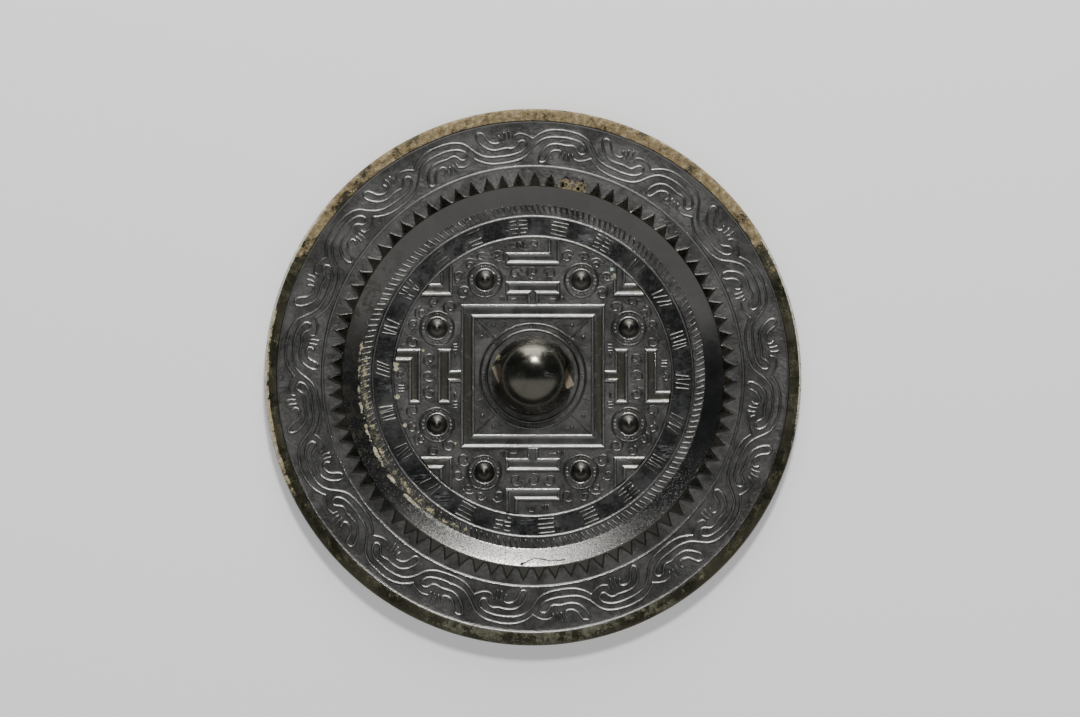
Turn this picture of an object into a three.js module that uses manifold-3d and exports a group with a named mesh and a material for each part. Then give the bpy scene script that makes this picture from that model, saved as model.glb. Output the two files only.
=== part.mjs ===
// A cast bronze mirror of the compass-and-square kind, lying on its reflecting face with the
// decorated back up. Millimetres, +Z up, origin under the centre on the surface it lies on.
// Angles on the back are in degrees, clockwise from +Y as seen from above.
import * as THREE from 'three';
import { mergeVertices } from 'three/addons/utils/BufferGeometryUtils.js';
import Module from 'manifold-3d';

// ---- driving dimensions ----
const mirrorDiameter = 166;
const fieldThickness = 2.6;
const rimThickness = 5.6;
const rimStep = 0.8;
const faceRise = 0.8;
const knobDiameter = 25;
const knobHeight = 11.6;
const holeWidth = 7.4;
const holeHeight = 7.4;

// ---- facets round a full turn ----
const discFacets = 68;
const knobFacets = 24;
const bossFacets = 10;
const holeArchSegments = 8;

// ---- heights above the table, and how deep raised work is rooted in the disc ----
const fieldZ = fieldThickness;
const rimZ = rimThickness;
const bandZ = rimZ - rimStep;
const buried = 0.6;

// ---- radii of the zones, from the rim inwards ----
const mirrorRadius = mirrorDiameter / 2;
const plainRimInner = 78.7;
const cloudMiddle = 71.5;
const ridgeRing = 64.6;
const toothTip = 63.3;
const toothBase = 58.9;
const bevelTop = 58.5;
const bevelFoot = 53.2;
const scriptOuterLine = 49.55;
const scriptInnerLine = 43.25;
const seatOuterLine = 16.3;
const seatInnerLine = 14.3;
const faceFlatRadius = 28;

// ---- square frame and marks: raised bands with a lip along both sides of a trough ----
const squareInner = 17.9;
const squareOuter = 22.35;
const markWidth = 4;
const markHeight = 0.9;
const markFlank = 0.2;
const lip = 0.7;
const troughDepth = 0.5;

const wasm = await Module();
wasm.setup();

// Turns a closed three.js geometry into a solid, with its faces pointing out.
function solid(geometry) {
  const plain = geometry.index ? geometry.toNonIndexed() : geometry.clone();
  plain.deleteAttribute('normal');
  plain.deleteAttribute('uv');
  const merged = mergeVertices(plain, 1e-4);
  const at = merged.attributes.position;
  const corners = merged.index.array;
  const kept = [];
  let volume = 0;
  const point = (i) => new THREE.Vector3().fromBufferAttribute(at, i);
  for (let i = 0; i < corners.length; i += 3) {
    const [a, b, c] = [corners[i], corners[i + 1], corners[i + 2]];
    if (a === b || b === c || c === a) continue;
    kept.push(a, b, c);
    volume += point(a).dot(point(b).cross(point(c)));
  }
  if (volume < 0) kept.reverse();
  return new wasm.Manifold(new wasm.Mesh({
    numProp: 3,
    vertProperties: new Float32Array(at.array),
    triVerts: new Uint32Array(kept),
  }));
}

const join = (pieces) => pieces.reduce((whole, piece) => whole.add(piece));

// A body turned about Z from [radius, height] pairs that start and end on the axis.
function turned(profile, sides, phase = 0) {
  const points = profile.map(([r, z]) => new THREE.Vector2(r, z));
  return new THREE.LatheGeometry(points, sides, phase).rotateX(Math.PI / 2);
}

// A flat outline with upright walls, standing on a given height.
function plate(points, bottom, height) {
  const outline = new THREE.Shape(points.map(([x, y]) => new THREE.Vector2(x, y)));
  const geometry = new THREE.ExtrudeGeometry(outline, { depth: height, bevelEnabled: false });
  return geometry.translate(0, 0, bottom);
}

// A flat outline raised from below the ground up to a top face, with sloping flanks that
// start just under the ground.
const flankStart = 0.05;

function raised(points, ground, height, flank) {
  const outline = new THREE.Shape(points.map(([x, y]) => new THREE.Vector2(x, y)));
  const slope = height + flankStart;
  const geometry = new THREE.ExtrudeGeometry(outline, {
    depth: buried,
    bevelThickness: slope,
    bevelSize: flank,
    bevelOffset: -flank,
    bevelSegments: 1,
  });
  return geometry.translate(0, 0, ground + height - slope - buried);
}

// The same outline moved inwards by a distance, corner by corner.
function inset(points, distance) {
  const at = points.map(([x, y]) => new THREE.Vector2(x, y));
  const area = THREE.ShapeUtils.area(at);
  const side = Math.sign(area) * distance;
  return at.map((corner, i) => {
    const before = at[(i + at.length - 1) % at.length];
    const after = at[(i + 1) % at.length];
    const a = corner.clone().sub(before).normalize();
    const b = after.clone().sub(corner).normalize();
    const reach = side / (1 + a.dot(b));
    return [corner.x - (a.y + b.y) * reach, corner.y + (a.x + b.x) * reach];
  });
}

const polar = (radius, degrees) => {
  const angle = THREE.MathUtils.degToRad(degrees);
  return [radius * Math.sin(angle), radius * Math.cos(angle)];
};

// A low ridge of three-cornered section along a smooth line through the given points.
function ridge(points, ground, width, height, steps) {
  const line = new THREE.CatmullRomCurve3(
    points.map(([x, y]) => new THREE.Vector3(x, y, ground)), false, 'centripetal');
  const section = new THREE.Shape([
    new THREE.Vector2(buried, -width / 2),
    new THREE.Vector2(0, -width / 2),
    new THREE.Vector2(-height, 0),
    new THREE.Vector2(0, width / 2),
    new THREE.Vector2(buried, width / 2),
  ]);
  return new THREE.ExtrudeGeometry(section, { extrudePath: line, steps });
}

// ---- the disc: reflecting face, rim, bevel and the raised rings, as one turned profile ----
const edgeFoot = { inset: 0.6, height: 1.5 };
const edgeShoulder = { lean: 0.3, inset: 0.8, drop: 0.4 };
const riserLean = 0.5;
const ridgeRingSize = { half: 0.75, height: 0.6 };
const scriptLineSize = { half: 0.5, height: 0.5 };

function disc() {
  const faceZ = (r) => faceRise * (r ** 2 - faceFlatRadius ** 2)
    / (mirrorRadius ** 2 - faceFlatRadius ** 2);
  const line = (radius, { half, height }, ground) => [
    [radius + half, ground], [radius, ground + height], [radius - half, ground]];
  const footRadius = mirrorRadius - edgeFoot.inset;
  return turned([
    [0, 0], [faceFlatRadius, 0], [footRadius, faceZ(footRadius)],
    [mirrorRadius, edgeFoot.height],
    [mirrorRadius - edgeShoulder.lean, rimZ - edgeShoulder.drop],
    [mirrorRadius - edgeShoulder.inset, rimZ],
    [plainRimInner, rimZ], [plainRimInner - riserLean, bandZ],
    ...line(ridgeRing, ridgeRingSize, bandZ),
    [toothBase, bandZ], [toothBase, rimZ], [bevelTop, rimZ], [bevelFoot, fieldZ],
    ...line(scriptOuterLine, scriptLineSize, fieldZ),
    ...line(scriptInnerLine, scriptLineSize, fieldZ),
    [0, fieldZ],
  ], discFacets);
}

// ---- sawtooth band: flat triangles pointing outwards from the bevel's top edge ----
const toothCount = 79;
const firstTooth = 0.5;
const toothShareOfPitch = 0.92;
const toothOverlap = 0.2;

function teeth() {
  const pitch = 360 / toothCount;
  const halfBase = toothShareOfPitch * pitch / 2;
  const base = toothBase - toothOverlap;
  return Array.from({ length: toothCount }, (_, i) => {
    const at = firstTooth + i * pitch;
    const outline = [polar(base, at - halfBase), polar(toothTip, at), polar(base, at + halfBase)];
    return solid(plate(outline, bandZ - buried, rimStep + buried));
  });
}

// ---- cloud-scroll band: twelve repeats, each an outward arch and its inward mirror image ----
// One stroke in [degrees along, mm outwards from the band's middle]; it starts as the outer
// line of one half and swings over into the inner line of the next, ending in a hook.
const cloudHalf = 15;
const cloudLine = { width: 1.1, height: 0.5 };
const cloudWave = [[0.1, 2.3], [1.6, 3.7], [4.4, 4.9], [8.3, 5.2], [11.6, 5.0], [13.8, 3.9],
  [15.4, 1.4], [17.1, -1.2], [19.2, -2.6], [22.3, -3.1], [25.4, -2.9], [27.6, -2.0], [28.7, -0.3]];
const cloudHook = [[28.7, -0.3], [28.5, 0.9], [27.5, 1.3], [26.5, 0.2], [25.6, -1.1], [24.2, -0.9]];
const cloudCurl = [[24.2, -0.9], [20.9, -1.2], [18.3, 0.3], [16.9, 3.2], [17.4, 5.0], [19.3, 4.6],
  [19.2, 2.9]];

function clouds() {
  const strokes = [[cloudWave, 10], [cloudHook, 4], [cloudCurl, 5]];   // with their steps
  const pieces = [];
  for (let half = 0; half < 360 / cloudHalf; half += 1) {
    const outwards = half % 2 === 0 ? 1 : -1;
    for (const [stroke, steps] of strokes) {
      const points = stroke.map(([along, out]) =>
        polar(cloudMiddle + outwards * out, half * cloudHalf + along));
      pieces.push(solid(ridge(points, bandZ, cloudLine.width, cloudLine.height, steps)));
    }
  }
  return pieces;
}

// ---- square frame and the T, L and V marks, each a raised band with a sunk trough ----
function troughed(points) {
  const band = solid(raised(points, fieldZ, markHeight, markFlank));
  const floor = fieldZ + markHeight - troughDepth;
  return band.subtract(solid(plate(inset(points, lip), floor, markHeight)));
}

function square() {
  const corner = Math.SQRT2;
  const top = fieldZ + markHeight;
  const rim = [
    [squareOuter, fieldZ - buried], [squareOuter, fieldZ], [squareOuter - markFlank, top],
    [squareOuter - lip, top], [(squareOuter + squareInner) / 2, top - troughDepth],
    [squareInner + lip, top], [squareInner + markFlank, top], [squareInner, fieldZ],
    [squareInner, fieldZ - buried]];
  const closed = [...rim, rim[0]].map(([r, z]) => [r * corner, z]);
  return solid(turned(closed, 4, Math.PI / 4));
}

// Outlines for the +Y side or the +X +Y corner; each is turned to the other three sides.
const markHalf = 8.5;
const tBar = [25.2, 29.4];
const tStemHalf = 1.8;
const tStemFoot = squareOuter - 0.2;
const lBar = [34.5, 38.4];
const lLimbEnd = 42.6;
const lEndSkew = 0.6;
const vCorner = 24.8;
const vEndRadius = scriptInnerLine - 0.9;

const tOutline = [
  [-tStemHalf, tStemFoot], [tStemHalf, tStemFoot], [tStemHalf, tBar[0]],
  [markHalf, tBar[0]], [markHalf, tBar[1]], [-markHalf, tBar[1]], [-markHalf, tBar[0]],
  [-tStemHalf, tBar[0]]];
const lOutline = [
  [-markHalf, lBar[0]], [markHalf, lBar[0]], [markHalf, lLimbEnd - lEndSkew],
  [markHalf - markWidth, lLimbEnd], [markHalf - markWidth, lBar[1]], [-markHalf, lBar[1]]];
const vHeel = vCorner + markWidth;
const vReach = Math.sqrt(vEndRadius ** 2 - vCorner ** 2);
const vInnerReach = Math.sqrt(vEndRadius ** 2 - vHeel ** 2);
const vOutline = [
  [vCorner, vCorner], [vReach, vCorner], [vInnerReach, vHeel], [vHeel, vHeel],
  [vHeel, vInnerReach], [vCorner, vReach]];

function marks() {
  const pieces = [];
  for (let quarter = 0; quarter < 4; quarter += 1) {
    for (const outline of [tOutline, lOutline, vOutline]) {
      pieces.push(troughed(outline).rotate([0, 0, -90 * quarter]));
    }
  }
  return pieces;
}

// ---- eight ringed bosses, a pair between the square and each pair of marks ----
const bossNear = 14.9;
const bossFar = 29.6;
const bossRadius = 3.5;
const bossShoulder = { radius: 1.9, height: 1.9 };
const bossHeight = 2.5;
const bossRing = { radius: 5.2, half: 0.5, height: 0.45 };

// A ring of three-cornered section about Z, rooted in the field.
function ring({ radius, half, height }, sides) {
  const root = fieldZ - buried;
  return turned([
    [radius + half, root], [radius + half, fieldZ], [radius, fieldZ + height],
    [radius - half, fieldZ], [radius - half, root], [radius + half, root]], sides);
}

function bosses() {
  const cone = [[0, fieldZ - buried], [bossRadius + 0.2, fieldZ - buried], [bossRadius, fieldZ],
    [bossShoulder.radius, fieldZ + bossShoulder.height], [0, fieldZ + bossHeight]];
  const places = [];
  for (const x of [-1, 1]) {
    for (const y of [-1, 1]) places.push([x * bossNear, y * bossFar], [x * bossFar, y * bossNear]);
  }
  return places.flatMap(([x, y]) => [
    solid(turned(cone, bossFacets).translate(x, y, 0)),
    solid(ring(bossRing, bossFacets).translate(x, y, 0)),
  ]);
}

// ---- inscription band: shallow meaningless strokes, two or three to a sign ----
// Strokes run between two places, each in [mm along, mm outwards] from the sign's middle.
const signCount = 22;
const firstSign = 10.5;
const signLine = { width: 0.7, height: 0.3 };
const upperStroke = [[-1.7, 1.6], [1.7, 1.3]];
const lowerStrokes = [[[-1.5, -1.4], [1.6, -1.2]], [[-1.5, -0.9], [1.6, -1.2]],
  [[-1.5, -0.4], [1.6, -1.2]]];
const crossStroke = [[0, 1.2], [0.3, -1.1]];

function signs() {
  const middle = (scriptInnerLine + scriptOuterLine) / 2;
  const place = (at, [along, out]) =>
    polar(middle + out, at + THREE.MathUtils.radToDeg(along / middle));
  const pieces = [];
  for (let i = 0; i < signCount; i += 1) {
    const at = firstSign + i * 360 / signCount;
    const kind = i % lowerStrokes.length;
    const strokes = [upperStroke, lowerStrokes[kind]];
    if (kind === 0) strokes.push(crossStroke);
    for (const [start, end] of strokes) {
      const ends = [place(at, start), place(at, end)];
      pieces.push(solid(ridge(ends, fieldZ, signLine.width, signLine.height, 1)));
    }
  }
  return pieces;
}

// ---- knob: a domed boss on a ringed seat, pierced from side to side for the cord ----
const domeRings = 5;
const domeStart = 0.12;
const knobFootInset = 0.5;
const knobRootInset = 0.9;
const seatLine = { half: 0.5, height: 0.4 };

function knob() {
  const radius = knobDiameter / 2;
  const dome = [[0, fieldZ - buried], [radius - knobRootInset, fieldZ - buried],
    [radius - knobFootInset, fieldZ]];
  for (let i = 0; i < domeRings; i += 1) {
    const angle = (domeStart + (1 - domeStart) * i / domeRings) * Math.PI / 2;
    dome.push([radius * Math.cos(angle), fieldZ + knobHeight * Math.sin(angle)]);
  }
  dome.push([0, fieldZ + knobHeight]);
  const seats = [seatInnerLine, seatOuterLine].map((middle) =>
    solid(ring({ ...seatLine, radius: middle }, knobFacets)));
  return [solid(turned(dome, knobFacets)), ...seats];
}

// An arched tunnel along X, with its floor level with the field.
function cordHole() {
  const half = holeWidth / 2;
  const spring = holeHeight - half;
  const arch = new THREE.Shape();
  arch.moveTo(-half, 0);
  arch.lineTo(half, 0);
  arch.lineTo(half, spring);
  arch.absarc(0, spring, half, 0, Math.PI, false);
  const length = knobDiameter + 1;
  const tunnel = new THREE.ExtrudeGeometry(arch, {
    depth: length, bevelEnabled: false, curveSegments: holeArchSegments });
  tunnel.translate(0, 0, -length / 2).rotateX(Math.PI / 2).rotateZ(Math.PI / 2);
  return solid(tunnel.translate(0, 0, fieldZ));
}

const dressed = join([
  solid(disc()), ...teeth(), ...clouds(), square(), ...marks(), ...bosses(), ...signs(),
  ...knob()]).subtract(cordHole());

const result = dressed.getMesh();
const geometry = new THREE.BufferGeometry();
geometry.setAttribute('position', new THREE.BufferAttribute(result.vertProperties, 3));
geometry.setIndex(new THREE.BufferAttribute(result.triVerts, 1));
geometry.computeVertexNormals();

const bronze = new THREE.MeshStandardMaterial({ color: 0x4a4b47, roughness: 0.35, metalness: 0.9 });
const mirror = new THREE.Mesh(geometry, bronze);
mirror.name = 'mirror';

const model = new THREE.Group();
model.add(mirror);
export default model;
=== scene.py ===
import math
import random

import bmesh
import bpy
import numpy as np
from mathutils import Matrix, Vector, kdtree
from mathutils.geometry import delaunay_2d_cdt


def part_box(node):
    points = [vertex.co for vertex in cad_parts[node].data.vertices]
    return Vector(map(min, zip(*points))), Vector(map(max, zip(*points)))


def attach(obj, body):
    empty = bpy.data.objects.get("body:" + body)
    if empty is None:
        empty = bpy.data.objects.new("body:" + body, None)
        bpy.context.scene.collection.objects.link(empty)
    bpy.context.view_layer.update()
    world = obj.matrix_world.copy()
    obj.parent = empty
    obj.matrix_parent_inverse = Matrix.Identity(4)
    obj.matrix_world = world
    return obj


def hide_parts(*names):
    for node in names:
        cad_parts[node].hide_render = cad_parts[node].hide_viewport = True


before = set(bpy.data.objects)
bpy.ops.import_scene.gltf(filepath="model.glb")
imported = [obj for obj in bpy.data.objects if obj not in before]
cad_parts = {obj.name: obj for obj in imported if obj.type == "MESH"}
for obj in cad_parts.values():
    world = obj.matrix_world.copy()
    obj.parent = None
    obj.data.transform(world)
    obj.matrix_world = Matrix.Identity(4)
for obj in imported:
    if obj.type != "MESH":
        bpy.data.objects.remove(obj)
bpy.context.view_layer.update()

# ---- The disc --------------------------------------------------------
# One pour of high-tin bronze in a two-part clay mould: a slightly domed reflecting face below,
# and above it a thick rim that steps down over a polished slope to a thin middle.
# Lengths are in millimetres of the casting. Angles run clockwise from +Y, seen from above.
low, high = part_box("mirror")
rim_radius = 83.0
mm = (high[0] - low[0]) / (2 * rim_radius)
field_z = 2.6
rim_z = 5.6
band_z = rim_z - 0.8
plain_inner = 79.25
rim_step = 79.05
around = 360


def polar(radius, degrees):
    """Place on the back at a radius and an angle."""
    angle = np.radians(degrees)
    return np.stack([radius * np.sin(angle), radius * np.cos(angle)], axis=-1)


def arc(centre, size, start, end, steps):
    """Corner rounding in a turned profile, as [radius, height] pairs."""
    angles = np.radians(np.linspace(start, end, steps))
    return [(centre[0] + size * math.cos(a), centre[1] + size * math.sin(a)) for a in angles]


def crest(share):
    """Height of a ridge at a share of its half width: a rounded crest and steep flanks."""
    return 1 - share ** 1.3


def ridge_profile(radius, half_width, height, ground):
    """A round-topped ring, from its outer foot to its inner foot."""
    shares = (1, 0.8, 0.42, 0, -0.42, -0.8, -1)
    return [(radius + s * half_width, ground + height * crest(abs(s))) for s in shares]


class Casting:
    """Corners and faces of the whole disc, welded by place."""

    def __init__(self):
        self.index = {}
        self.corners = []
        self.faces = []

    def corner(self, x, y, z):
        key = (round(x, 4), round(y, 4), round(z, 4))
        if key not in self.index:
            self.index[key] = len(self.corners)
            self.corners.append((x, y, z))
        return self.index[key]

    def add(self, places, faces):
        numbers = [self.corner(*place) for place in places]
        for face in faces:
            ids = [numbers[i] for i in face]
            if len(set(ids)) == len(ids):
                self.faces.append(ids)

    def turn(self, profile):
        """A turned strip through [radius, height] pairs that run inwards over the top."""
        for (r0, z0), (r1, z1) in zip(profile, profile[1:]):
            outer = polar(r0, np.arange(around) * 360 / around)
            inner = polar(r1, np.arange(around) * 360 / around)
            places = [(x, y, z0) for x, y in outer] + [(x, y, z1) for x, y in inner]
            faces = []
            for i in range(around):
                j = (i + 1) % around
                faces.append((i, around + i, around + j) if r0 == 0 else (i, around + i, around + j, j))
            self.add(places, faces)


casting = Casting()
flat_radius = 28
dome_rise = 0.8


def face_z(radius):
    """Height of the domed reflecting face above the surface it lies on."""
    share = (radius ** 2 - flat_radius ** 2) / (rim_radius ** 2 - flat_radius ** 2)
    return max(0, dome_rise * share)


cloud_outer = 78.1
underside = [(r, face_z(r)) for r in (0, 14, flat_radius, 36, 44, 52, 60, 68, 75, 80, 81.9)]
casting.turn(underside + arc((82.2, 1.6), 0.8, -70, 0, 5) + arc((81.65, 4.45), 1.15, 8, 90, 8)
             + [(80.6, rim_z), (plain_inner, rim_z), (rim_step, rim_z - 0.05), (78.8, rim_z - 0.53),
                (78.3, band_z + 0.04), (cloud_outer, band_z)])

# ---- Raised line work ------------------------------------------------
# Lines were drawn into the mould with a round tool, so each stands up from the ground as a
# round-topped ridge with steep flanks and a round end.
def smooth(points, step):
    """Evenly spaced points on a smooth line through a few given ones."""
    given = np.array(points, dtype=float)
    ends = np.vstack([2 * given[0] - given[1], given, 2 * given[-1] - given[-2]])
    pieces = []
    for p0, p1, p2, p3 in zip(ends, ends[1:], ends[2:], ends[3:]):
        t = np.linspace(0, 1, 24, endpoint=False)[:, None]
        pieces.append(0.5 * (2 * p1 + (p2 - p0) * t + (2 * p0 - 5 * p1 + 4 * p2 - p3) * t ** 2
                             + (3 * p1 - p0 - 3 * p2 + p3) * t ** 3))
    return spaced(np.vstack(pieces + [given[-1:]]), step)


def spaced(line, step):
    """The same line with its points about one step apart."""
    lengths = np.concatenate([[0], np.cumsum(np.hypot(*np.diff(line, axis=0).T))])
    count = max(2, int(round(lengths[-1] / step)) + 1)
    at = np.linspace(0, lengths[-1], count)
    return np.stack([np.interp(at, lengths, line[:, 0]), np.interp(at, lengths, line[:, 1])], 1)


broad_line = 0.45
sample_step = 0.1
same_place = 1e-4


class Band:
    """A ring of the back between two radii, with raised work on a flat ground."""

    def __init__(self, inner, outer, ground):
        self.inner, self.outer, self.ground = inner, outer, ground
        self.points, self.edges, self.samples, self.forms = [], [], [], []

    def line(self, points, closed=False):
        """Keeps the mesh's edges on this line."""
        first = len(self.points)
        self.points.extend((float(x), float(y)) for x, y in points)
        last = len(self.points) - 1
        self.edges.extend((i, i + 1) for i in range(first, last))
        if closed:
            self.edges.append((last, first))

    def circle(self, centre, radius, steps):
        self.line(np.array(centre) + polar(radius, np.arange(steps) * 360 / steps), True)

    def rod(self, path, half_width, height):
        """A ridge of the given half width and height along a path."""
        way = np.gradient(path, axis=0)
        way /= np.hypot(way[:, 0], way[:, 1])[:, None]
        side = np.stack([-way[:, 1], way[:, 0]], axis=1)
        for share in (1, 0.8, 0.42) if half_width > broad_line else (1, 0.68):
            reach = half_width * share
            turn = np.radians([60, 20, -20, -60])[:, None]
            caps = [path[i] + reach * (np.cos(turn) * way[i] * sign + np.sin(turn) * side[i] * sign)
                    for i, sign in ((-1, 1), (0, -1))]
            self.line(np.vstack([path + side * reach, caps[0], (path - side * reach)[::-1], caps[1]]),
                      True)
        self.line(path)
        for x, y in spaced(path, sample_step):
            self.samples.append((x, y, half_width, height))

    def heights(self, places):
        """Height of each place above the ground: the tallest work that covers it."""
        rise = np.zeros(len(places))
        for form in self.forms:
            rise = np.maximum(rise, form(places))
        if self.samples:
            tree = kdtree.KDTree(len(self.samples))
            for i, (x, y, _, _) in enumerate(self.samples):
                tree.insert((x, y, 0), i)
            tree.balance()
            widest = max(s[2] for s in self.samples)
            for i, (x, y) in enumerate(places):
                for _, number, gap in tree.find_range((x, y, 0), widest):
                    _, _, half_width, height = self.samples[number]
                    share = min(gap / half_width, 1)
                    rise[i] = max(rise[i], height * crest(share))
        rise[rise < same_place] = 0
        return rise

    def cast(self, outer_z=None, inner_z=None):
        """Triangulates the band round all its lines and adds it to the casting."""
        rings = [(self.outer, outer_z)] + ([(self.inner, inner_z)] if self.inner else [])
        for radius, _ in rings:
            self.line(polar(radius, np.arange(around) * 360 / around), True)
        corners, _, faces, *_ = delaunay_2d_cdt(
            [Vector(p) for p in self.points], self.edges, [], 0, same_place, False)
        places = np.array([tuple(c) for c in corners])
        radii = np.hypot(*places.T)
        z = self.ground + self.heights(places)
        turn = 360 / around
        for radius, fixed in rings:
            on_ring = np.abs(radii - radius) < 10 * same_place
            z[on_ring] = self.ground if fixed is None else fixed
            angles = np.degrees(np.arctan2(places[on_ring, 0], places[on_ring, 1]))
            places[on_ring] = polar(radius, np.round(angles / turn) % around * turn)
        edge = self.inner * math.cos(math.pi / around)
        kept = []
        for a, b, c in faces:
            middle = (places[a] + places[b] + places[c]) / 3
            if np.hypot(*middle) > edge:
                kept.append((a, b, c))
        casting.add([(x, y, h) for (x, y), h in zip(places, z)], kept)


# ---- Cloud-scroll band -----------------------------------------------
# Twelve repeats of a scroll of cloud run round the rim between the plain edge and a round
# ridge. Every second half is the first one reversed towards the centre. Its lines are in degrees
# along and millimetres outwards from the band's middle; sections are a half width and a height.
cloud_inner = 65.35
cloud_middle = 71.5
cloud_repeats = 12
cloud_step = 0.6
scroll_section = (0.46, 0.33)
barb_section = (0.4, 0.29)
cloud_line = [(0, 2), (0.9, 2.9), (2.3, 4), (4.2, 4.85), (6.5, 5.15), (8.8, 5.05), (11, 4.6),
              (12.7, 3.8), (13.9, 2.6), (14.9, 1), (16, -0.6), (17.4, -1.9), (19.3, -2.65),
              (21.5, -2.9), (23.8, -2.9), (25.8, -2.5), (27.3, -1.7), (28.2, -0.5), (28.3, 0.7),
              (27.6, 1.4), (26.7, 1.2), (26.1, 0.3), (25.5, -0.5), (24.6, -0.75), (23.5, -0.5),
              (22.4, -0.6), (20.9, -0.7), (19.5, -0.4), (18.3, 0.5), (17.3, 2), (16.7, 3.6),
              (16.7, 4.9), (17.4, 5.4), (18.3, 4.9), (18.8, 3.6), (19.3, 2.4), (20.2, 1.5),
              (21.3, 1.25), (22.1, 1.6), (22.3, 2.5), (21.9, 3.4)]
cloud_barbs = [[(23.2, 1.9), (23.25, 3), (23.1, 4.3)], [(24.2, 2.1), (24.35, 3.2), (24.25, 4.5)],
               [(25.2, 2), (25.4, 3), (25.7, 3.2), (26.8, 3.6), (28.2, 3.25), (29.2, 2.6), (30, 2)]]
hand = random.Random(7)
clouds = Band(cloud_inner, cloud_outer, band_z)
half_turn = 180 / cloud_repeats
for half in range(2 * cloud_repeats):
    outwards = 1 if half % 2 == 0 else -1
    swell = 1 + hand.uniform(-0.02, 0.02)
    for stroke in [cloud_line] + cloud_barbs:
        places = [polar(cloud_middle + outwards * out * swell + hand.uniform(-0.03, 0.03),
                        half * half_turn + along + hand.uniform(-0.03, 0.03)) for along, out in stroke]
        section = scroll_section if stroke is cloud_line else barb_section
        clouds.rod(smooth(places, cloud_step), *section)
clouds.cast()
tooth_ring = 63.89
cloud_ridge = [(cloud_inner, 0), (65.1, 0.22), (64.95, 0.32), (64.85, 0.31), (64.6, 0.17), (64.3, 0),
               (tooth_ring, 0)]
casting.turn([(radius, band_z + rise) for radius, rise in cloud_ridge])

# ---- Sawtooth band ---------------------------------------------------
# Flat triangles as high as the plain edge, with their bases on the top edge of the slope and
# their tips outwards. They were ground and polished with the slope, so they are dark and bright.
slope_top = 58.9
teeth = Band(slope_top, tooth_ring, band_z)
tooth_count = 79
tooth_rise = rim_z - band_z
tooth_base = 58.95
tooth_tip = 63.2
tooth_half = 2.12
flank = ((0, 0), (0.12, 0.45), (0.5, 1))
base_inset, tip_inset = 1.12, 2.25
lip_foot = 59.2


def tooth_form(outline):
    """Height of a flat-topped tooth with sloping flanks along its two long sides."""
    left, tip, right = outline
    tooth_length = 6

    def rise(places):
        depth = np.full(len(places), np.inf)
        for start, end in ((left, tip), (tip, right)):
            way = (end - start) / np.hypot(*(end - start))
            gap = (places[:, 0] - start[0]) * way[1] - (places[:, 1] - start[1]) * way[0]
            depth = np.minimum(depth, gap)
        near = np.hypot(*(places - tip).T) < tooth_length
        return np.where(near & (depth > 0), np.interp(depth, *zip(*flank)) * tooth_rise, 0)
    return rise


def lip_form(places):
    radii = np.hypot(*places.T)
    return np.clip((lip_foot - radii) / (lip_foot - teeth.inner), 0, 1) * tooth_rise


teeth.forms.append(lip_form)
teeth.line(polar(lip_foot, np.arange(around) * 360 / around), True)
for number in range(tooth_count):
    middle = 0.5 + number * 360 / tooth_count + hand.uniform(-0.12, 0.12)
    reach = tooth_tip + hand.uniform(-0.25, 0.15)
    half = tooth_half + hand.uniform(-0.06, 0.06)
    foot = polar(tooth_base, np.array([middle - half, middle + half]))
    outline = [foot[0], polar(reach, middle), foot[1]]
    teeth.forms.append(tooth_form(outline))
    teeth.line(outline)
    for depth, _ in flank[1:]:
        inset = math.degrees(depth / tooth_base) * base_inset
        teeth.line([polar(tooth_base, middle - half + inset), polar(reach - depth * tip_inset, middle),
                    polar(tooth_base, middle + half - inset)])
teeth.cast(inner_z=rim_z)

# ---- Slope and comb band ---------------------------------------------
# The slope was ground smooth and polished after the casting. A comb of short slanting strokes
# lies at its foot, with a round ridge on its inner side.
comb_inner, comb_outer = 50.05, 54.4
slope = [(slope_top, rim_z), (58.6, rim_z - 0.03), (58.35, rim_z - 0.14), (57, 4.78), (55.6, 3.98),
         (comb_outer, 3.31)]
casting.turn(slope)
slope_foot = [(53.1, 0), (53.3, 0.06), (53.7, 0.3), (comb_outer, 0.71)]
comb = Band(comb_inner, comb_outer, field_z)
for radius, _ in slope_foot[:-1]:
    comb.circle((0, 0), radius, around)
comb.forms.append(lambda places: np.interp(np.hypot(*places.T), *zip(*slope_foot)))
comb_count = 184
comb_slant = 1.05
comb_start, comb_end, comb_step = 50.62, 53, 1.1
comb_section = (0.33, 0.245)
for number in range(comb_count):
    at = number * 360 / comb_count + hand.uniform(-0.12, 0.12)
    ends = [polar(comb_start + hand.uniform(-0.1, 0.1), at + comb_slant / 2),
            polar(comb_end + hand.uniform(-0.2, 0.15), at - comb_slant / 2 + hand.uniform(-0.1, 0.1))]
    comb.rod(spaced(np.array(ends), comb_step), *comb_section)
comb.cast(outer_z=slope[-1][1])
ridge_section = (0.5, 0.36)
casting.turn(ridge_profile(49.55, *ridge_section, field_z))

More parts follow.
